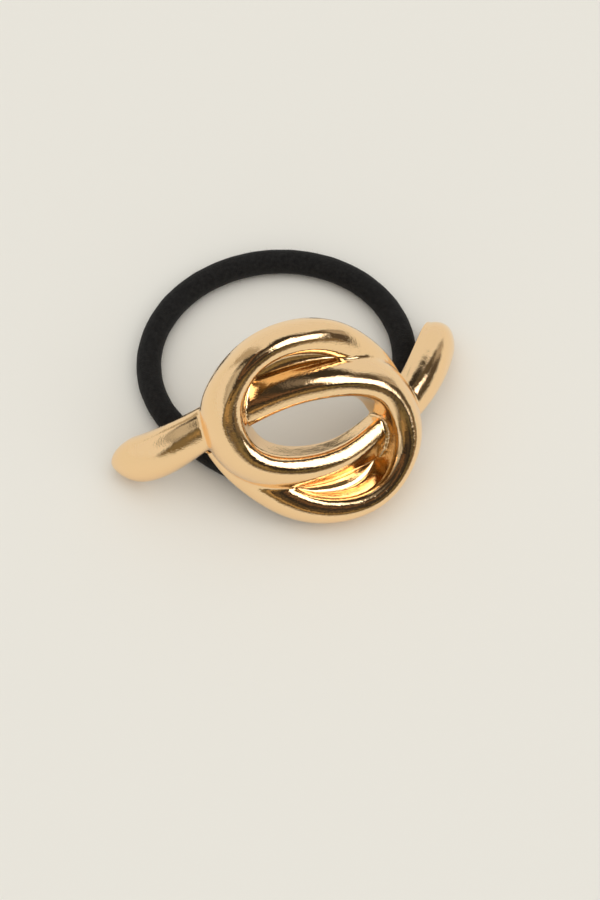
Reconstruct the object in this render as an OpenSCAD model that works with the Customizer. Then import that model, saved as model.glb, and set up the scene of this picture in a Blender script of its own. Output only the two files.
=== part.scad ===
// Metal cuff hair tie: a cast knot of two interlaced strands, bent to a cuff, on a covered elastic loop.
// It lies as it rests on a table: the elastic flat, the cuff leaning back on its tails and lower edge.
// The strands are laid out flat as (along, across, height over the back), then bent round the ponytail.

/* [Knot] */
// Radius of the cuff's back, where it lies round the ponytail
bend_r = 35; // [32:0.5:40]
// Share of a strand's height that is upright wall, on its outer side
out_wall = 0.2; // [0.1:0.05:0.4]
// Share of a strand's height that is upright wall, on its inner side
in_wall = 0.65; // [0.5:0.05:0.75]
// How far the inner wall is drawn in from the round crest
in_draw = 0.4; // [0:0.1:0.8]
// How far the foot of the inner wall stands out from the wall
foot_flare = 0.3; // [0:0.1:0.6]
// Thickness of the floor in the two recesses
floor_t = 1.2; // [0.8:0.1:2]
// Share of the height that is left at a tail's very end
end_share = 0.45; // [0.3:0.05:0.8]

/* [Elastic] */
// Half of the elastic loop's width, to the middle of its cord
loop_half_w = 23.2; // [22:0.1:25]
// Half of the elastic loop's depth, to the middle of its cord
loop_half_d = 21.3; // [20:0.1:23]
// How far the oval loop is turned about the upright
loop_turn = 11.5; // [0:0.5:20]
// Thickness of the elastic cord
cord_d = 4.6; // [4:0.1:5]
// Half of the turn over which the hidden stretch is drawn out to the eye
draw_half = 66; // [60:1:75]
// Half of the turn over which it rises to the eye
rise_half = 40; // [34:1:50]

/* [Eye] */
// Thickness of the eye's wire
eye_wire = 1.4; // [1.2:0.1:1.4]
// Space between the eye and the cord
eye_gap = 0.2; // [0.1:0.1:0.2]

/* [Pose] */
// How far the cuff leans back from lying face up
lean = 48; // [44:0.5:50]
// How far the cuff is turned about the upright
turn = 24.5; // [20:0.5:28]

/* [Fineness] */
// Rings of a strand for each row of its table
rings_per_row = 4; // [2:1:5]
// Steps round a strand's rounded top
top_steps = 14; // [8:2:16]
// Rings round the elastic loop
loop_rings = 64; // [48:4:96]
// Sides of the elastic cord
cord_sides = 16; // [12:4:24]

/* [Hidden] */

// Middle of the cuff's back, and middle of the elastic loop, over the floor
cuff_at = [2.2, -2.1, 14.1];
loop_at = [-4.2, 17.5, cord_d / 2];
// The origin: middle of the whole object, on the floor
origin_at = [-2.7, 12, 0];

// One strand, from the tip of its tail, under the other strand, across the middle,
// round its own side and over the far side to its tucked end. The other strand is this one turned half round.
ALONG = 0;
ACROSS = 1;
CREST_R = 2;
TOP_H = 3;
FOOT = 4;
STRAND = [
    // along, across, radius of the crest, height of the top over the back, reach of the outer foot past the crest
    [38.0, 0.0, 4.0, 3.6, -0.4],
    [34.5, 0.0, 4.2, 4.0, -0.4],
    [31.0, -0.5, 4.4, 4.2, -0.4],
    [27.0, -1.5, 4.4, 4.4, -0.5],
    [23.0, -3.0, 4.4, 4.4, -0.6],
    [19.0, -4.5, 4.0, 4.0, -0.7],
    [15.0, -5.5, 3.4, 3.6, -0.8],
    [11.0, -6.0, 2.9, 3.6, -0.9],
    [6.0, -7.0, 2.7, 4.5, -0.8],
    [1.0, -7.5, 2.9, 5.5, -0.4],
    [-4.5, -6.5, 3.0, 6.5, 0.4],
    [-9.0, -4.5, 2.9, 7.4, 1.4],
    [-12.5, -1.0, 2.8, 8.0, 2.2],
    [-13.5, 4.0, 2.8, 8.4, 2.5],
    [-13.0, 8.5, 2.8, 8.5, 1.9],
    [-11.0, 12.0, 2.5, 8.2, 1.0],
    [-8.0, 15.0, 2.4, 7.6, 0.2],
    [-4.5, 16.5, 2.6, 7.0, -0.3],
    [-0.5, 16.5, 2.8, 6.3, -0.3],
    [4.0, 15.0, 2.9, 5.4, 0.1],
    [8.0, 12.0, 2.9, 4.5, 0.6],
    [11.5, 7.5, 2.8, 3.5, 1.0],
    [14.2, 3.0, 2.7, 2.7, 1.4],
    [15.5, -1.2, 2.5, 2.1, 1.7],
];
LAST_ROW = len(STRAND) - 1;

// Where a recess runs: from one row to another of its own strand, and the rows of the other strand that face them
recess_rows = [13.0, 20.6];
facing_rows = [6.8, 11.0];
recess_steps = 10;
recess_lift = 0.3;

// The eye behind the knot: middle of the cord in it, as (along, across, height over the back)
eye_at = [-2.0, -10.8, -3.1];
eye_top = 1.0;
eye_r = cord_d / 2 + eye_gap + eye_wire / 2;

// A table's row number i, carried on straight past its two ends
function row(i) = i < 0 ? 2 * STRAND[0] - STRAND[1]
    : i > LAST_ROW ? 2 * STRAND[LAST_ROW] - STRAND[LAST_ROW - 1]
    : STRAND[i];

// The table read smoothly at any place t: a cubic B-spline through all of its columns
function at(t) = let (i = min(floor(t), LAST_ROW - 1), f = t - i)
    (pow(1 - f, 3) * row(i - 1)
    + (3 * pow(f, 3) - 6 * pow(f, 2) + 4) * row(i)
    + (3 * f + 3 * pow(f, 2) - 3 * pow(f, 3) + 1) * row(i + 1)
    + pow(f, 3) * row(i + 2)) / 6;

// Bends a flat point (along, across, height) round the ponytail
function bent(p) = let (a = p[0] / bend_r * 180 / PI, r = bend_r + p[2])
    [r * sin(a), p[1], r * cos(a) - bend_r];

// Turns a point about the upright
function turned(p, by) = [p[0] * cos(by) - p[1] * sin(by), p[0] * sin(by) + p[1] * cos(by), p[2]];

// Leans and turns a bent point to where it rests over the floor
function posed(p) = cuff_at + turned(
    [p[0], p[1] * cos(lean) - p[2] * sin(lean), p[1] * sin(lean) + p[2] * cos(lean)], turn);

function unit(p) = p / norm(p);

// Roundness of the tail's tip in plan: nothing at the very end, full at one row from it
function tip_round(t) = t < 1 ? sqrt(1 - pow(1 - t, 2)) : 1;

// One ring of a strand: foot of the outer wall, over the top, foot of the inner wall
function ring(t) = let (
        r = at(t),
        ahead = at(t + 0.02),
        way = unit([ahead[ALONG] - r[ALONG], ahead[ACROSS] - r[ACROSS]]),
        side = [-way[1], way[0]],
        plan = tip_round(t),
        crest = r[CREST_R] * plan,
        out_foot = r[FOOT] * plan,
        in_foot = -in_draw * plan,
        top = r[TOP_H] * (end_share + (1 - end_share) * plan),
        place = function(q, h) bent([r[ALONG] + q * side[0], r[ACROSS] + q * side[1], h])
    )
    [
        place(crest + out_foot, 0),
        for (k = [0 : top_steps])
            let (
                a = 180 * k / top_steps,
                foot = a < 90 ? out_foot : in_foot,
                wall = top * (a < 90 ? out_wall : in_wall)
            )
            place(crest * cos(a) + foot * pow(cos(a), 3), wall + (top - wall) * sin(a)),
        place(-crest - in_foot - foot_flare * plan, 0),
    ];

// A closed skin through rings of equal length, with flat ends
module skin(rings) {
    n = len(rings[0]);
    m = len(rings);
    points = [for (r = rings) each r];
    sides = [for (i = [0 : m - 2], j = [0 : n - 1])
        let (a = i * n + j, b = i * n + (j + 1) % n)
        [a, a + n, b + n, b]];
    first = [for (j = [0 : n - 1]) j];
    last = [for (j = [0 : n - 1]) m * n - 1 - j];
    polyhedron(points, concat([first], sides, [last]), convexity = 6);
}

// Places of the rings: close together round the tip, then even
tip_turns = [8, 20, 34, 50, 68];
ring_places = [
    for (a = tip_turns) 1 - cos(a),
    for (k = [rings_per_row : LAST_ROW * rings_per_row]) k / rings_per_row,
];

module strand() {
    skin([for (t = ring_places) ring(t)]);
}

// The floor of a recess: a thin plate from the middle of one strand to the middle of the other
module recess_floor() {
    function part_way(rows, e) = rows[0] + (rows[1] - rows[0]) * e / recess_steps;
    for (k = [0 : recess_steps - 1])
        hull()
            for (e = [k, k + 1])
                let (near = at(part_way(recess_rows, e)), far = -at(part_way(facing_rows, e)))
                for (p = [near, far], h = [recess_lift, floor_t])
                    translate(bent([p[ALONG], p[ACROSS], h]))
                        cube(0.02, center = true);
}

module half_knot() {
    strand();
    recess_floor();
}

// The eye: a staple of round wire under the back, open upwards, its legs run up into the casting
module eye() {
    translate(eye_at)
        rotate([90, 0, 90]) {
            rotate([0, 0, 180])
                rotate_extrude(angle = 180, $fn = 32)
                    translate([eye_r, 0])
                        circle(d = eye_wire, $fn = 12);
            for (side = [-1, 1])
                translate([side * eye_r, 0])
                    rotate([-90, 0, 0])
                        cylinder(h = eye_top - eye_at[2], d = eye_wire, $fn = 12);
        }
}

// The casting: one strand and the same strand turned half round, with the eye at the back
module knot_cuff() {
    color("#D9A964")
        translate(cuff_at - origin_at)
            rotate([lean, 0, turn]) {
                half_knot();
                rotate([0, 0, 180])
                    half_knot();
                eye();
            }
}

// The elastic's way round: a flat oval, drawn out and up through the eye behind the knot
function oval(a) = loop_at + turned([loop_half_w * cos(a), loop_half_d * sin(a), 0], loop_turn);
eye_place = posed(eye_at);
eye_aside = turned(eye_place - loop_at, -loop_turn);
draw_turn = atan2(eye_aside[1] / loop_half_d, eye_aside[0] / loop_half_w);
draw = eye_place - oval(draw_turn);

function near_eye(a, half) = let (off = abs((a - draw_turn + 540) % 360 - 180))
    off < half ? pow(cos(90 * off / half), 2) : 0;

function cord_middle(a) = let (out = near_eye(a, draw_half), up = near_eye(a, rise_half))
    oval(a) + [draw[0] * out, draw[1] * out, draw[2] * up];

function cord_ring(a) = let (
        way = unit(cord_middle(a + 0.5) - cord_middle(a - 0.5)),
        level = unit(cross(way, [0, 0, 1])),
        up = cross(level, way)
    )
    [for (j = [0 : cord_sides - 1])
        let (b = 360 * (j + 0.5) / cord_sides)
        cord_middle(a) - origin_at + cord_d / 2 / cos(180 / cord_sides) * (level * cos(b) + up * sin(b))];

// The covered elastic: a closed loop
module elastic_loop() {
    n = cord_sides;
    rings = [for (i = [0 : loop_rings - 1]) cord_ring(360 * i / loop_rings)];
    points = [for (r = rings) each r];
    sides = [for (i = [0 : loop_rings - 1], j = [0 : n - 1])
        let (a = i * n, b = ((i + 1) % loop_rings) * n, k = (j + 1) % n)
        [a + j, a + k, b + k, b + j]];
    color("#1C1B1B")
        polyhedron(points, sides, convexity = 6);
}

knot_cuff();
elastic_loop();
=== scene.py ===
import math

import bmesh
import bpy
import numpy as np
from mathutils import Euler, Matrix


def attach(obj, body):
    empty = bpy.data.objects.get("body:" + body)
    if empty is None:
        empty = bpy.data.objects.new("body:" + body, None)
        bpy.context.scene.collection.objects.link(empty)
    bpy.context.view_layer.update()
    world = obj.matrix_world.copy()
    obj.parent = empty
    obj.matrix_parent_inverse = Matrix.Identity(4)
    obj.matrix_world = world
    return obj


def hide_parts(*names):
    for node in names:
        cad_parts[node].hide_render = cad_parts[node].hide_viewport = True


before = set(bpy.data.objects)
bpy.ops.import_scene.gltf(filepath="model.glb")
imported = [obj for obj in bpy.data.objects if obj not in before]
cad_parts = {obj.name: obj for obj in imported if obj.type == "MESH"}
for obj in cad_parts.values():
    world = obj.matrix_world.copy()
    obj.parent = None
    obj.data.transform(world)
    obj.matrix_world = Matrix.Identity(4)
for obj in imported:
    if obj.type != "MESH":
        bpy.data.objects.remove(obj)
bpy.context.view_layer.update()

scene = bpy.context.scene
scene.view_settings.view_transform = "Standard"
mm = 0.001


def linear(hexColour):
    # sRGB hex to the linear values that shaders take
    parts = [int(hexColour[i:i + 2], 16) / 255 for i in (1, 3, 5)]
    return tuple(p / 12.92 if p <= 0.04045 else ((p + 0.055) / 1.055) ** 2.4 for p in parts) + (1.0,)


def addNode(tree, kind, inputs=None, **settings):
    # One node with its settings. An input is a plain value, or another node's output to link
    node = tree.nodes.new(kind)
    for key, value in settings.items():
        setattr(node, key, value)
    for key, value in (inputs or {}).items():
        if isinstance(value, bpy.types.NodeSocket):
            tree.links.new(value, node.inputs[key])
        else:
            node.inputs[key].default_value = value
    return node


def newMaterial(name):
    material = bpy.data.materials.new(name)
    material.use_nodes = True
    tree = material.node_tree
    tree.nodes.clear()
    shader = addNode(tree, "ShaderNodeBsdfPrincipled")
    addNode(tree, "ShaderNodeOutputMaterial", {"Surface": shader.outputs[0]})
    return material, tree, shader


def shellMesh(name, grid, closed=False):
    # grid[i, j] is a point, i along the path and j round the section. A path that isn't closed gets flat ends
    rows, columns = grid.shape[:2]
    i, j = np.meshgrid(np.arange(rows if closed else rows - 1), np.arange(columns), indexing="ij")
    a, b, k = i * columns, (i + 1) % rows * columns, (j + 1) % columns
    faces = np.stack([a + j, a + k, b + k, b + j], -1).reshape(-1, 4).tolist()
    if not closed:
        faces += [list(range(columns))[::-1], list(range((rows - 1) * columns, rows * columns))]
    mesh = bpy.data.meshes.new(name)
    mesh.from_pydata(grid.reshape(-1, 3), [], faces)
    mesh.polygons.foreach_set("use_smooth", np.ones(len(mesh.polygons), bool))
    mesh.update()
    return mesh


def newObject(name, mesh, material=None):
    thing = bpy.data.objects.new(name, mesh)
    scene.collection.objects.link(thing)
    if material:
        mesh.materials.clear()
        mesh.materials.append(material)
    return thing


# Camera: 60 degrees above the floor, square on the front, and far enough off for the flat look of a close-up

view = dict(
    elevation=60.0,                 # degrees above the floor
    distance=500.0,                 # mm
    target=(2.7, -12.0, 0.0),       # mm, the spot on the floor in the middle of the frame
    pixelsPerMm=5.6,                # at the target
    frameHeight=900,                # pixels
    sensor=36.0,                    # mm
)

print("camera")
camera = bpy.data.cameras.new("camera")
camera.sensor_fit = "VERTICAL"
camera.sensor_height = view["sensor"]
camera.lens = view["sensor"] * view["pixelsPerMm"] * view["distance"] / view["frameHeight"]
camera.clip_start = 10 * mm
cameraObject = bpy.data.objects.new("camera", camera)
scene.collection.objects.link(cameraObject)
viewRise = math.radians(view["elevation"])
fromTarget = np.array([0, -math.cos(viewRise), math.sin(viewRise)]) * view["distance"]
cameraObject.location = (np.array(view["target"]) + fromTarget) * mm
cameraObject.rotation_euler = (math.pi / 2 - viewRise, 0, 0)
scene.camera = cameraObject


# Light: a pale studio with a softbox on the right. Polished metal shows the whole room, so the room is
# drawn in the world as soft-edged cards, each at an azimuth (0 behind the object, 90 on the right) and an
# elevation. The softbox lights only what is polished. The key and the three fills light only what is matt

light = dict(
    # azimuth, elevation and roll in degrees, distance and size in metres
    softbox=dict(azimuth=102, elevation=42, roll=20, distance=6.0, width=4.0, height=4.6, radiance=2.6),
    key=dict(azimuth=104, elevation=46, roll=0, distance=6.0, width=3.2, height=3.2, radiance=0.9),
    backdrop="#E6E3DC",
    room=(0.042, 0.037, 0.031),
    overhead=(1.34, 1.32, 1.28),        # fill from straight above
    overheadFocus=3.0,                  # how closely it gathers there: the power of the height
    around=(0.50, 0.491, 0.471),        # fill from all round
    front=(0.94, 0.926, 0.90),          # fill from the viewer's side
    cards=[
        # azimuth, half width, elevation, half height, softness of the edge (degrees), red, green, blue
        (0, 180, 90, 12, 4, 0.20, 0.18, 0.16),          # ceiling
        (-92, 42, 0, 20, 4, 0.80, 0.78, 0.74),          # pale wall on the left
        (-100, 33, 32, 10, 6, 0.52, 0.50, 0.45),        # its dimmer top
        (-42, 9, 10, 28, 5, 0.45, 0.41, 0.34),          # corner
        (7, 41, 0, 44, 4, 0.78, 0.76, 0.72),            # backdrop behind
        (-32, 13, 48, 8, 5, 0.80, 0.76, 0.70),          # reflector above its left end
        (58, 8, 0, 24, 5, 0.42, 0.38, 0.33),            # its right end, in shade
        (60, 11, 41, 14, 3, 0.10, 0.085, 0.065),        # dark wall above that end
        (81, 16, 12, 27, 3, 0.09, 0.075, 0.06),         # dark gap beside the softbox
        (118, 22, 0, 14, 4, 0.20, 0.16, 0.11),          # floor under the softbox
        (165, 20, 0, 10, 4, 0.55, 0.52, 0.46),          # low pale walls behind the viewer
        (-168, 16, 0, 8, 4, 0.55, 0.52, 0.46),
        (-150, 12, 10, 30, 4, 0.20, 0.16, 0.09),        # door on their left
        (180, 28, 27, 9, 5, 0.46, 0.32, 0.15),          # warm wall above them, which colours the recesses
        (92, 36, 69, 12, 2.5, 2.60, 2.57, 2.50),        # second softbox, nearly overhead
        (-110, 70, 56, 4, 3, 0.17, 0.10, 0.06),         # shelves and beams of the dark room
        (160, 30, 58, 4, 3, 0.17, 0.10, 0.06),
        (-150, 40, 47, 3, 2, 0.03, 0.025, 0.02),
        (165, 35, 32, 4, 3, 0.03, 0.025, 0.02),
        (150, 25, 22, 3, 2, 0.20, 0.17, 0.09),
    ],
)


def buildWorld(settings):
    # A card's mask is the product of two smooth steps, of how far off its middle a direction is in azimuth
    # and in elevation. Later cards lie over earlier ones
    world = bpy.data.worlds.new("studio")
    scene.world = world
    world.use_nodes = True
    tree = world.node_tree
    tree.nodes.clear()
    place = addNode(tree, "ShaderNodeTexCoord").outputs["Generated"]
    colour = addNode(tree, "ShaderNodeRGB")
    colour.outputs[0].default_value = (*settings["room"], 1)
    colour = colour.outputs[0]
    height = addNode(tree, "ShaderNodeSeparateXYZ", {0: place}).outputs[2]
    rise = addNode(tree, "ShaderNodeMath", {0: height}, operation="ARCSINE").outputs[0]
    for azimuth, halfWidth, elevation, halfHeight, soft, red, green, blue in settings["cards"]:
        turned = addNode(tree, "ShaderNodeMapping", {0: place, "Rotation": (0, 0, math.radians(azimuth))})
        axes = addNode(tree, "ShaderNodeSeparateXYZ", {0: turned.outputs[0]})
        aside = addNode(tree, "ShaderNodeMath", {0: axes.outputs[0], 1: axes.outputs[1]}, operation="ARCTAN2")
        lift = addNode(tree, "ShaderNodeMath", {0: rise, 1: math.radians(elevation)}, operation="SUBTRACT")
        mask = 1.0
        for offset, half in ((aside, halfWidth), (lift, halfHeight)):
            off = addNode(tree, "ShaderNodeMath", {0: offset.outputs[0]}, operation="ABSOLUTE").outputs[0]
            step = addNode(tree, "ShaderNodeMapRange", {
                "Value": off,
                "From Min": math.radians(half + soft),
                "From Max": math.radians(half - soft),
            }, interpolation_type="SMOOTHSTEP").outputs[0]
            mask = addNode(tree, "ShaderNodeMath", {0: step, 1: mask}, operation="MULTIPLY").outputs[0]
        colour = addNode(tree, "ShaderNodeMix", {
            0: mask, 6: colour, 7: (red, green, blue, 1)}, data_type="RGBA").outputs[2]
    upward = addNode(tree, "ShaderNodeMath", {
        0: height, 1: settings["overheadFocus"]}, operation="POWER").outputs[0]
    fill = addNode(tree, "ShaderNodeMix", {
        0: upward, 6: (*settings["around"], 1), 7: (*settings["overhead"], 1)}, data_type="RGBA").outputs[2]
    depth = addNode(tree, "ShaderNodeSeparateXYZ", {0: place}).outputs[1]
    ahead = addNode(tree, "ShaderNodeMath", {
        0: depth, 1: -1.0}, operation="MULTIPLY", use_clamp=True).outputs[0]
    fill = addNode(tree, "ShaderNodeMix", {
        0: ahead, 6: fill, 7: (*settings["front"], 1)}, data_type="RGBA").outputs[2]
    # light that has met a matt surface is fill, also where the metal throws it on. The eye sees the backdrop
    rays = addNode(tree, "ShaderNodeLightPath")
    colour = addNode(tree, "ShaderNodeMix", {
        0: rays.outputs["Diffuse Depth"], 6: colour, 7: fill}, data_type="RGBA").outputs[2]
    colour = addNode(tree, "ShaderNodeMix", {
        0: rays.outputs["Is Camera Ray"], 6: colour, 7: linear(settings["backdrop"])},
        data_type="RGBA").outputs[2]
    background = addNode(tree, "ShaderNodeBackground", {0: colour})
    addNode(tree, "ShaderNodeOutputWorld", {0: background.outputs[0]})


def areaLight(name, azimuth, elevation, distance, width, height, roll, radiance):
    # Turned to face the knot. Power is pi times area times radiance
    data = bpy.data.lights.new(name, "AREA")
    data.shape = "RECTANGLE"
    data.size, data.size_y = width, height
    data.energy = math.pi * width * height * radiance
    lamp = bpy.data.objects.new(name, data)
    scene.collection.objects.link(lamp)
    a, e = math.radians(azimuth), math.radians(elevation)
    lamp.location = np.array([math.sin(a) * math.cos(e), math.cos(a) * math.cos(e), math.sin(e)]) * distance
    facing = Euler((math.pi / 2 - e, 0, math.pi - a)).to_matrix()
    lamp.rotation_euler = (facing @ Euler((0, 0, math.radians(roll))).to_matrix()).to_euler()
    return lamp


print("light")
buildWorld(light)
areaLight("softbox", **light["softbox"]).visible_diffuse = False
areaLight("key", **light["key"]).visible_glossy = False


# Floor: a wide sheet of studio paper

floorPaper = dict(
    halfSize=2.0,           # metres
    colour="#EEECE5",
    roughness=0.95,
    specular=0.1,
)


def paperMaterial(settings):
    # Uncoated paper, rolled smooth: even and pale, with next to no sheen
    material, tree, shader = newMaterial("mattPaper")
    shader.inputs["Base Color"].default_value = linear(settings["colour"])
    shader.inputs["Roughness"].default_value = settings["roughness"]
    shader.inputs["Specular IOR Level"].default_value = settings["specular"]
    return material


print("floor")
h = floorPaper["halfSize"]
floorMesh = bpy.data.meshes.new("floor")
floorMesh.from_pydata([(-h, -h, 0), (h, -h, 0), (h, h, 0), (-h, h, 0)], [], [(0, 1, 2, 3)])
newObject("floor", floorMesh, paperMaterial(floorPaper))


# The knot: one casting of two strands, each the other turned half round, with a floor in its two recesses
# and an eye behind. It is laid out flat as (along, across, height over the back), then bent round the
# ponytail. Lengths are in mm

knot = dict(
    bendRadius=35.0,            # of the back
    lean=48.0,                  # degrees that the cuff leans back from lying face up
    turn=24.5,                  # degrees about the upright
    middle=(4.9, -14.1, 14.1),  # of the cuff's back
    outWall=0.2,                # share of a strand's height that is upright, on its outer side
    inDraw=0.4,                 # inner wall drawn in from the round crest
    footFlare=0.3,              # foot of the inner wall out from the wall
    edgeRound=0.35,             # rounding of the back's edges
    endShare=0.45,              # share of the height left at a tail's end
    tipRows=1.7,                # rows over which a tail's end is rounded
    tipRings=28,                # rings of points over the tail's end
    tipAngles=(3.0, 88.0),      # degrees, of the first and the last of them on its rounding
    ringsPerRow=15,             # and on the rest of a strand
    edgeSteps=5,                # steps round a section: an edge of the back, the crest, a wall, the back
    crestSteps=48,
    wallSteps=4,
    backSteps=8,
    # along, across, crest radius, top height, reach of the outer foot (mm), upright share of the inner wall
    strand=[
        (38.4, 0.2, 4.1, 4.0, -0.4, 0.10),
        (34.5, 0.2, 4.4, 4.3, -0.4, 0.10),
        (31.0, -0.2, 4.7, 4.6, -0.4, 0.12),
        (27.0, -1.4, 4.6, 4.8, -0.5, 0.15),
        (23.0, -3.0, 4.4, 4.6, -0.6, 0.25),
        (19.0, -4.5, 4.0, 4.3, -0.7, 0.45),
        (15.0, -5.5, 3.4, 4.1, 0.3, 0.55),
        (11.0, -6.0, 2.9, 4.0, 1.5, 0.65),
        (6.0, -7.0, 2.7, 4.5, 1.7, 0.65),
        (1.0, -7.5, 2.9, 5.5, 1.1, 0.65),
        (-4.5, -6.5, 3.0, 6.5, 1.1, 0.65),
        (-9.0, -4.5, 2.9, 7.4, 1.7, 0.65),
        (-12.5, -1.0, 2.8, 8.0, 2.2, 0.65),
        (-13.5, 4.0, 2.8, 8.4, 2.5, 0.65),
        (-13.0, 8.5, 2.8, 8.5, 1.9, 0.65),
        (-11.0, 12.0, 2.5, 8.2, 1.0, 0.65),
        (-8.0, 15.0, 2.4, 7.6, 0.2, 0.65),
        (-4.5, 16.5, 2.6, 7.0, -0.3, 0.65),
        (-0.5, 16.5, 2.8, 6.3, -0.3, 0.65),
        (4.0, 15.0, 2.9, 5.4, 0.1, 0.65),
        (8.0, 12.0, 2.9, 4.5, 0.6, 0.65),
        (11.5, 7.5, 2.8, 3.5, 1.0, 0.65),
        (14.2, 3.0, 2.7, 2.7, 1.4, 0.65),
        (15.5, -1.2, 2.5, 2.1, 1.7, 0.65),
    ],
    # Where a recess's floor runs: row of its own strand, row of the facing strand, height of its middle,
    # rise to its own strand, rise to the facing strand
    recess=[
        (14.4, 7.6, 0.8, 0.4, 0.3),
        (15.3, 8.1, 1.1, 1.0, 0.8),
        (16.3, 8.6, 1.4, 1.8, 1.4),
        (17.4, 9.3, 1.5, 1.8, 1.6),
        (18.4, 9.9, 2.0, 1.8, 1.7),
        (19.4, 10.5, 3.0, 1.2, 1.6),
        (20.4, 11.1, 3.2, 0.4, 1.6),
    ],
    recessBase=0.3,             # height of its underside
    recessSpan=(0.15, 0.85),    # from inside one strand to inside the other, as shares of the way
    recessRings=90,
    recessSteps=60,
    recessTuck=0.2,             # how far the bowl runs on into the walls
    recessLeast=0.3,            # least half width of the bowl
    footShare=0.6,              # share of the facing strand's foot that stands in the recess
    eyeAt=(-2.0, -10.8, -3.1),  # middle of the elastic in the eye
    eyeRadius=3.2,              # to the middle of the wire
    eyeWire=1.4,                # its thickness
    eyeTop=1.0,                 # how far its legs run up into the casting
    legSteps=11,
    bowSteps=48,
    wireSides=24,
    seamAngle=25.0,             # degrees. Edges sharper than this are seams to soften
    filletReach=1.2,            # how far from a seam the metal is softened
    filletPasses=20,
    sharpAngle=32.0,            # degrees. Edges that are still sharper than this stay crisp
)


def splineAt(table, t):
    # Uniform cubic B-spline through every column of a table, carried on straight past its ends
    rows = np.array(table, float)
    rows = np.vstack([2 * rows[0] - rows[1], rows, 2 * rows[-1] - rows[-2], 3 * rows[-1] - 2 * rows[-2]])
    i = np.clip(np.floor(t).astype(int), 0, len(table) - 2)
    f = (t - i)[:, None]
    return ((1 - f) ** 3 * rows[i] + (3 * f ** 3 - 6 * f ** 2 + 4) * rows[i + 1]
            + (3 * f + 3 * f ** 2 - 3 * f ** 3 + 1) * rows[i + 2] + f ** 3 * rows[i + 3]) / 6


def bend(flat, radius):
    # (along s, across v, height h) to a cylinder: x = (R + h) sin(s / R), y = v, z = (R + h) cos(s / R) - R
    angle = flat[..., 0] / radius
    reach = radius + flat[..., 2]
    return np.stack([reach * np.sin(angle), flat[..., 1], reach * np.cos(angle) - radius], -1)


def halfTurn(points):
    return points * np.array([-1, -1, 1])


def setDown(points, settings):
    # Leans the cuff about X, turns it about the upright and sets it over the floor
    lean, turn = math.radians(settings["lean"]), math.radians(settings["turn"])
    tilt = np.array([[1, 0, 0], [0, math.cos(lean), -math.sin(lean)], [0, math.sin(lean), math.cos(lean)]])
    swing = np.array([[math.cos(turn), -math.sin(turn), 0], [math.sin(turn), math.cos(turn), 0], [0, 0, 1]])
    return (points @ (swing @ tilt).T + np.array(settings["middle"])) * mm


def strandGrid(s):
    # A strand's section, q to the side and h up: over the crest q = r cos(a) + foot cos(a)^3 and
    # h = wall + (top - wall) sin(a), on upright walls, with the back's edges rounded.
    # The tail's end is rounded in plan and height by sqrt(1 - (1 - t)^2), t from 0 to 1 over the tip's rows
    last = len(s["strand"]) - 1
    tip = s["tipRows"] * (1 - np.cos(np.radians(np.linspace(*s["tipAngles"], s["tipRings"]))))
    rest = np.linspace(s["tipRows"], last, round((last - s["tipRows"]) * s["ringsPerRow"]) + 1)
    t = np.concatenate([tip, rest])
    rows, ahead, behind = (splineAt(s["strand"], t + d) for d in (0, 0.01, -0.01))
    way = ahead[:, :2] - behind[:, :2]
    way /= np.linalg.norm(way, axis=1)[:, None]
    plan = np.sqrt(1 - np.clip(1 - t / s["tipRows"], 0, 1) ** 2)[:, None]
    crest, outFoot, inFoot = rows[:, 2:3] * plan, rows[:, 4:5] * plan, -s["inDraw"] * plan
    top = rows[:, 3:4] * (s["endShare"] + (1 - s["endShare"]) * plan)
    edge = s["edgeRound"] * np.minimum(plan * 1.6, 1)       # less at the very tip, which is thin
    outEdge, inEdge = crest + outFoot, -crest - inFoot - s["footFlare"] * plan
    outWall, inWall = s["outWall"] * top, rows[:, 5:6] * top
    corner = np.radians(np.linspace(0, 90, s["edgeSteps"] + 1))[None]
    over = np.radians(np.linspace(0, 180, s["crestSteps"] + 1))[None]
    outer = over < math.pi / 2
    foot, wall = np.where(outer, outFoot, inFoot), np.where(outer, outWall, inWall)
    up, across = (np.linspace(0, 1, s[steps] + 1)[None, 1:-1] for steps in ("wallSteps", "backSteps"))
    q = np.concatenate([
        outEdge - edge + edge * np.sin(corner),
        outEdge + 0 * up,
        crest * np.cos(over) + foot * np.cos(over) ** 3,
        (-crest - inFoot) * (1 - up) + inEdge * up,
        inEdge + edge - edge * np.cos(corner),
        inEdge + edge + (outEdge - inEdge - 2 * edge) * across], 1)
    h = np.concatenate([
        edge - edge * np.cos(corner),
        edge + (outWall - edge) * up,
        wall + (top - wall) * np.sin(over),
        inWall + (edge - inWall) * up,
        edge - edge * np.sin(corner),
        0 * top + 0 * across], 1)
    return np.stack([rows[:, 0:1] - q * way[:, 1:2], rows[:, 1:2] + q * way[:, 0:1], h], -1)


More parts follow.
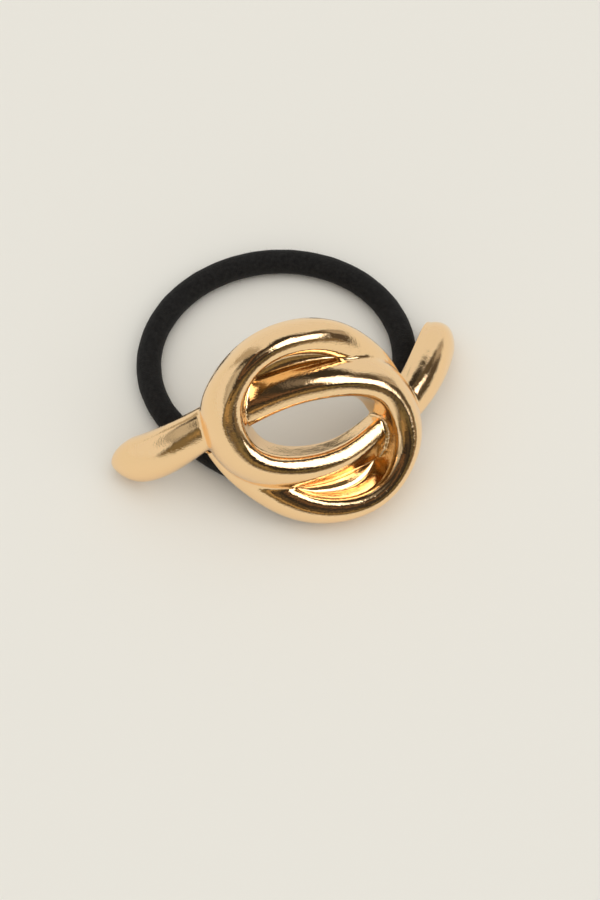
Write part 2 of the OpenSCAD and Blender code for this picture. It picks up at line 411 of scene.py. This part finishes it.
def recessGrid(s):
    # A recess's floor, from inside one strand to inside the other: a bowl that turns up into their walls,
    # h = middle + rise |x|^3, x from -1 to 1 between the walls, over a flat base
    rows = splineAt(s["recess"], np.linspace(0, len(s["recess"]) - 1, s["recessRings"]))
    near, far = splineAt(s["strand"], rows[:, 0]), -splineAt(s["strand"], rows[:, 1])
    span = np.linalg.norm(far[:, :2] - near[:, :2], axis=1)[:, None, None]
    u = np.linspace(*s["recessSpan"], s["recessSteps"])[None, :, None]
    plan = near[:, None, :2] * (1 - u) + far[:, None, :2] * u
    ownWall = near[:, None, 2:3] - s["inDraw"]
    otherWall = -far[:, None, 2:3] - s["footShare"] * far[:, None, 4:5]
    half = np.maximum((span - ownWall - otherWall) / 2 + s["recessTuck"], s["recessLeast"])
    x = np.clip((u * span - (ownWall + half - s["recessTuck"])) / half, -1, 1)
    top = rows[:, None, 2:3] + np.where(x < 0, rows[:, None, 3:4], rows[:, None, 4:5]) * np.abs(x) ** 3
    base = np.full_like(plan[..., :1], s["recessBase"])
    over, under = np.concatenate([plan, top], -1), np.concatenate([plan, base], -1)[:, ::-1]
    return np.concatenate([over, under], 1)


def eyeGrid(s):
    # Round wire of radius w along a staple: down, half round the elastic, and up
    leg = np.linspace(s["eyeTop"] - s["eyeAt"][2], 0, s["legSteps"] + 1)[:-1]
    a = np.linspace(0, math.pi, s["bowSteps"] + 1)
    y = np.concatenate([0 * leg + 1, np.cos(a), 0 * leg - 1]) * s["eyeRadius"]
    z = np.concatenate([leg, -np.sin(a) * s["eyeRadius"], leg[::-1]])
    turn = np.concatenate([0 * leg, a, 0 * leg + math.pi])[:, None]
    b = np.linspace(0, 2 * math.pi, s["wireSides"], endpoint=False)[None]
    w = s["eyeWire"] / 2
    out = w * np.cos(b)
    wire = np.stack([
        w * np.sin(b) + 0 * turn,
        y[:, None] + out * np.cos(turn),
        z[:, None] - out * np.sin(turn)], -1)
    return wire + np.array(s["eyeAt"])


def applied(thing):
    # The mesh with its modifiers worked out
    worked = thing.evaluated_get(bpy.context.evaluated_depsgraph_get())
    return bpy.data.meshes.new_from_object(worked)


def soften(mesh, s):
    # Fillets the seams: a pass moves each point half way to the mean of its neighbours, times its weight,
    # which falls from 1 on a crease to 0 at the reach by 3n^2 - 2n^3
    mesh.set_sharp_from_angle(angle=math.radians(s["seamAngle"]))
    sharp = np.zeros(len(mesh.edges), bool)
    edges = np.empty(len(mesh.edges) * 2, np.int32)
    mesh.attributes["sharp_edge"].data.foreach_get("value", sharp)
    mesh.edges.foreach_get("vertices", edges)
    one, other = edges.reshape(-1, 2).T
    points = np.empty(len(mesh.vertices) * 3)
    mesh.vertices.foreach_get("co", points)
    points = points.reshape(-1, 3)
    crease = points[np.unique(np.concatenate([one[sharp], other[sharp]]))]
    # in 300 blocks, to spare memory
    away = np.concatenate([
        np.sqrt(((block[:, None] - crease) ** 2).sum(-1).min(1)) for block in np.array_split(points, 300)])
    near = np.clip(1 - away / (s["filletReach"] * mm), 0, 1)
    weight = (3 * near ** 2 - 2 * near ** 3)[:, None]
    count = np.bincount(one, minlength=len(points)) + np.bincount(other, minlength=len(points))
    for step in range(s["filletPasses"]):
        total = np.stack([
            np.bincount(one, points[other, c], len(points)) + np.bincount(other, points[one, c], len(points))
            for c in range(3)], 1)
        points += weight * 0.5 * (total / count[:, None] - points)
    mesh.vertices.foreach_set("co", points.ravel())
    mesh.update()


# Sizes and depths in mm. Depths are of the full relief
gold = dict(
    colour="#FFDBAA",
    roughness=0.055,
    duller=0.04, brighter=0.02,         # how far the roughness wanders, over patches of the worn size
    worn=6.0,
    wornSpan=(0.35, 0.65),              # part of its noise that is used
    swell=2.2, swellDepth=0.012,        # faint unevenness left by hand polishing
    grain=0.28, grainDepth=0.0055,      # orange peel of the casting under the plating, drawn a little coarse
    scratch=0.25, scratchDepth=0.0001,  # lines of the polishing wheel, drawn coarser than they are, to show
    scratchTurn=(0.4, 0.3, 0.9),
    scratchStretch=(1, 0.06, 0.3),
    noiseSpan=0.25,                     # a noise runs over about a quarter of 0 to 1
)


def goldMaterial(g):
    # Zinc, die-cast, polished by hand and plated with pale gold: a warm mirror with faint waves and
    # a fine grain. Object coordinates are scaled to mm
    material, tree, shader = newMaterial("goldPlatedZinc")
    spot = addNode(tree, "ShaderNodeTexCoord").outputs["Object"]
    spot = addNode(tree, "ShaderNodeVectorMath", {0: spot, "Scale": 1000.0}, operation="SCALE").outputs[0]
    swell = addNode(tree, "ShaderNodeTexNoise", {"Vector": spot, "Scale": 1 / g["swell"], "Detail": 1.0})
    grain = addNode(tree, "ShaderNodeTexNoise", {"Vector": spot, "Scale": 1 / g["grain"], "Detail": 2.0})
    drawn = addNode(tree, "ShaderNodeMapping", {
        "Vector": spot, "Rotation": g["scratchTurn"], "Scale": g["scratchStretch"]})
    scratch = addNode(tree, "ShaderNodeTexNoise", {
        "Vector": drawn.outputs[0], "Scale": 1 / g["scratch"], "Detail": 2.0, "Roughness": 0.7})
    worn = addNode(tree, "ShaderNodeTexNoise", {"Vector": spot, "Scale": 1 / g["worn"], "Detail": 3.0})
    dull = addNode(tree, "ShaderNodeMapRange", {
        "Value": worn.outputs[0], "From Min": g["wornSpan"][0], "From Max": g["wornSpan"][1],
        "To Min": g["roughness"] - g["brighter"], "To Max": g["roughness"] + g["duller"]})
    relief = {}
    for pattern, depth in ((swell, g["swellDepth"]), (grain, g["grainDepth"]), (scratch, g["scratchDepth"])):
        bump = addNode(tree, "ShaderNodeBump", {
            "Height": pattern.outputs[0], "Distance": depth * mm / g["noiseSpan"], "Strength": 1.0, **relief})
        relief = {"Normal": bump.outputs[0]}
    tree.links.new(dull.outputs[0], shader.inputs["Roughness"])
    tree.links.new(bump.outputs[0], shader.inputs["Normal"])
    shader.inputs["Base Color"].default_value = linear(g["colour"])
    shader.inputs["Metallic"].default_value = 1.0
    return material


def buildKnot(s, material):
    flat = strandGrid(s)
    print("knot: strands and recesses")
    grids = dict(nearStrand=bend(flat, s["bendRadius"]))
    grids["farStrand"] = halfTurn(grids["nearStrand"])
    grids["nearRecess"] = bend(recessGrid(s), s["bendRadius"])
    grids["farRecess"] = halfTurn(grids["nearRecess"])
    grids["eye"] = eyeGrid(s)
    parts = {name: newObject(name, shellMesh(name, setDown(grid, s))) for name, grid in grids.items()}
    print("knot: union")
    others = bpy.data.collections.new("others")
    for name, part in parts.items():
        if name != "nearStrand":
            others.objects.link(part)
    join = parts["nearStrand"].modifiers.new("join", "BOOLEAN")
    join.operation, join.solver = "UNION", "EXACT"
    join.operand_type, join.collection = "COLLECTION", others
    join.use_self = True        # the others also cut one another
    mesh = applied(parts["nearStrand"])
    mesh.name = "goldKnot"
    print("knot: fillets")
    soften(mesh, s)
    for part in parts.values():
        bpy.data.objects.remove(part)
    mesh.polygons.foreach_set("use_smooth", np.ones(len(mesh.polygons), bool))
    mesh.set_sharp_from_angle(angle=math.radians(s["sharpAngle"]))
    print("knot: faces", len(mesh.polygons))
    return newObject("goldKnot", mesh, material)


goldKnot = buildKnot(knot, goldMaterial(gold))
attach(goldKnot, "root")
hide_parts("knot_cuff")


# The elastic: a closed loop of rubber under a fine knitted cover, with short fibres standing off it.
# Lengths are in mm

elastic = dict(
    halfWidth=23.2,                 # of the oval, to the middle of the cord
    halfDepth=21.3,
    turn=11.5,                      # degrees about the upright
    thickness=4.6,
    middle=(-1.5, 5.5),
    drawHalf=66.0,                  # degrees over which the hidden stretch is drawn out to the eye
    riseHalf=40.0,                  # and over which it rises to it
    rings=1600,
    columns=48,
    wales=16,                       # ribs round the cord, 0.9 mm each
    courses=400,                    # rows of stitches round the loop, 0.36 mm each
    relief=0.045,                   # of the stitches
    unevenness=0.035,
    waves=(9, 23, 41),              # of the unevenness, in the length of the loop
    dark="#0C0B0B", light="#242322",
    mottle=0.7,                     # size of the patches of tone
    mottleSpan=(0.3, 0.7),          # part of their noise that is used
    yarn=0.25, yarnDepth=0.08,      # grain of the yarn. A finer one would be lost between pixels
    roughness=0.9,
    specular=0.2,
    sheen=0.08,                     # bloom of the loose fibres
    sheenRoughness=0.5,
    hairs=6000,
    hairLength=(0.2, 0.55),
    hairWidth=0.022,
    hairLean=0.7,                   # spread of their lean off the upright, and of their bow
    hairBow=0.35,
    hairRoot=0.03,                  # how deep they start
    seed=4,
)


def elasticPath(s, k, a):
    # An oval, drawn out and up through the eye behind the knot by cos(90 off / half)^2
    turn = math.radians(s["turn"])
    centre = np.array([*s["middle"], s["thickness"] / 2])

    def oval(a):
        x, y = s["halfWidth"] * np.cos(a), s["halfDepth"] * np.sin(a)
        return centre + np.stack([
            x * math.cos(turn) - y * math.sin(turn), x * math.sin(turn) + y * math.cos(turn), 0 * a], -1)

    eye = setDown(np.array(k["eyeAt"]), k) / mm
    aside = eye - centre
    x = aside[0] * math.cos(turn) + aside[1] * math.sin(turn)
    y = -aside[0] * math.sin(turn) + aside[1] * math.cos(turn)
    drawTurn = math.atan2(y / s["halfDepth"], x / s["halfWidth"])
    draw = eye - oval(np.array([drawTurn]))[0]
    off = np.abs((a - drawTurn + 3 * math.pi) % (2 * math.pi) - math.pi)
    near = [np.where(off < half, np.cos(off / half * math.pi / 2) ** 2, 0)
            for half in (math.radians(s["drawHalf"]), math.radians(s["riseHalf"]))]
    return oval(a) + np.stack([draw[0] * near[0], draw[1] * near[0], draw[2] * near[1]], -1)


def elasticGrid(s, k):
    # Rings round the path. The radius carries the stitches, each a bump along its course bent to a V between
    # two wales, relief (0.6 cos(course + 1.4 cos wale) + 0.4 cos wale), and the mean of three slow waves
    a = np.linspace(0, 2 * math.pi, s["rings"], endpoint=False)
    path = elasticPath(s, k, a)
    way = np.roll(path, -1, 0) - np.roll(path, 1, 0)
    way /= np.linalg.norm(way, axis=1)[:, None]
    level = np.cross(way, [0, 0, 1])
    level /= np.linalg.norm(level, axis=1)[:, None]
    up = np.cross(level, way)
    b = np.linspace(0, 2 * math.pi, s["columns"], endpoint=False)[None, ::-1]
    length = np.linalg.norm(np.roll(path, -1, 0) - path, axis=1)
    along = 2 * math.pi * (np.cumsum(length) - length[0])[:, None] / length.sum()
    course, wale = s["courses"] * along, s["wales"] * b
    stitch = 0.6 * np.cos(course + 1.4 * np.cos(wale)) + 0.4 * np.cos(wale)
    few, some, many = s["waves"]
    slow = np.sin(few * along + 2 * np.sin(b)) + np.sin(some * along - b) + np.sin(many * along + 2 * b + 1)
    r = s["thickness"] / 2 - s["relief"] * (1 - stitch) - s["unevenness"] * (1 - slow / 3)
    out = level[:, None] * np.cos(b)[..., None] + up[:, None] * np.sin(b)[..., None]
    return path[:, None] + out * r[..., None], out, way


def fibreGrids(s, grid, out, way):
    # Short fibres at random places of the cover: three rings of three points each, bowed and tapered.
    # A ring at share t lies at base + length (t lean + t^2 bow), its half thickness is width (1 - 0.9 t) / 2
    chance = np.random.default_rng(s["seed"])
    count = s["hairs"]
    i, j = chance.integers(0, s["rings"], count), chance.integers(0, s["columns"], count)
    normal, along = out[i, j], way[i]
    aside = np.cross(normal, along)
    spread = s["hairLean"]
    lean = (normal + chance.normal(0, spread, (count, 1)) * along
            + chance.normal(0, spread, (count, 1)) * aside)
    lean /= np.linalg.norm(lean, axis=1)[:, None]
    bow = chance.normal(0, s["hairBow"], (count, 3))
    length = chance.uniform(*s["hairLength"], (count, 1))
    t = np.array([0.0, 0.5, 1.0])[None, :, None, None]
    spine = (grid[i, j] - s["hairRoot"] * normal)[:, None, None] + length[:, None, None] * (
        t * lean[:, None, None] + t ** 2 * bow[:, None, None])
    spine[..., 2] = np.maximum(spine[..., 2], s["hairWidth"] / 2)       # those underneath lie on the table
    first = np.cross(lean, along + 0.1)
    first /= np.linalg.norm(first, axis=1)[:, None]
    second = np.cross(lean, first)
    c = np.radians([0, 120, 240])[None, None, :, None]
    ring = first[:, None, None] * np.cos(c) + second[:, None, None] * np.sin(c)
    return spine + ring * s["hairWidth"] / 2 * (1 - 0.9 * t)


def fibreMesh(name, hairs):
    # hairs[n, ring, corner] is a point. Each fibre is a closed little spike
    count, rings, corners = hairs.shape[:3]
    i, j = np.meshgrid(np.arange(rings - 1), np.arange(corners), indexing="ij")
    a, b, k = i * corners, (i + 1) * corners, (j + 1) % corners
    sides = np.stack([a + j, a + k, b + k, b + j], -1).reshape(-1, 4)
    start = (np.arange(count) * rings * corners)[:, None, None]
    ends = np.array([list(range(corners))[::-1], list(range((rings - 1) * corners, rings * corners))])
    faces = (sides[None] + start).reshape(-1, 4).tolist()
    faces += (ends[None] + start).reshape(-1, corners).tolist()
    mesh = bpy.data.meshes.new(name)
    mesh.from_pydata(hairs.reshape(-1, 3), [], faces)
    mesh.update()
    return mesh


def elasticMaterial(s):
    # Nylon, knitted in a fine rib over the rubber and dyed black: matt, with a faint bloom and a tone
    # that is a little uneven
    material, tree, shader = newMaterial("knittedNylon")
    spot = addNode(tree, "ShaderNodeTexCoord").outputs["Object"]
    spot = addNode(tree, "ShaderNodeVectorMath", {0: spot, "Scale": 1000.0}, operation="SCALE").outputs[0]
    mottle = addNode(tree, "ShaderNodeTexNoise", {
        "Vector": spot, "Scale": 1 / s["mottle"], "Detail": 4.0, "Roughness": 0.75})
    tone = addNode(tree, "ShaderNodeMapRange", {
        "Value": mottle.outputs[0], "From Min": s["mottleSpan"][0], "From Max": s["mottleSpan"][1]})
    shade = addNode(tree, "ShaderNodeMix", {
        0: tone.outputs[0], 6: linear(s["dark"]), 7: linear(s["light"])}, data_type="RGBA")
    yarn = addNode(tree, "ShaderNodeTexNoise", {"Vector": spot, "Scale": 1 / s["yarn"], "Detail": 2.0})
    bump = addNode(tree, "ShaderNodeBump", {
        "Height": yarn.outputs[0], "Distance": s["yarnDepth"] * mm, "Strength": 1.0})
    tree.links.new(shade.outputs[2], shader.inputs["Base Color"])
    tree.links.new(bump.outputs[0], shader.inputs["Normal"])
    shader.inputs["Roughness"].default_value = s["roughness"]
    shader.inputs["Specular IOR Level"].default_value = s["specular"]
    shader.inputs["Sheen Weight"].default_value = s["sheen"]
    shader.inputs["Sheen Roughness"].default_value = s["sheenRoughness"]
    return material


print("elastic: cover")
nylon = elasticMaterial(elastic)
coverGrid, coverOut, coverWay = elasticGrid(elastic, knot)
elasticCover = newObject("elasticCover", shellMesh("elasticCover", coverGrid * mm, closed=True), nylon)
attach(elasticCover, "root")
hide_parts("elastic_loop")
print("elastic: fibres")
fibres = fibreGrids(elastic, coverGrid, coverOut, coverWay)
elasticFuzz = newObject("elasticFuzz", fibreMesh("elasticFuzz", fibres * mm), nylon)
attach(elasticFuzz, "root")
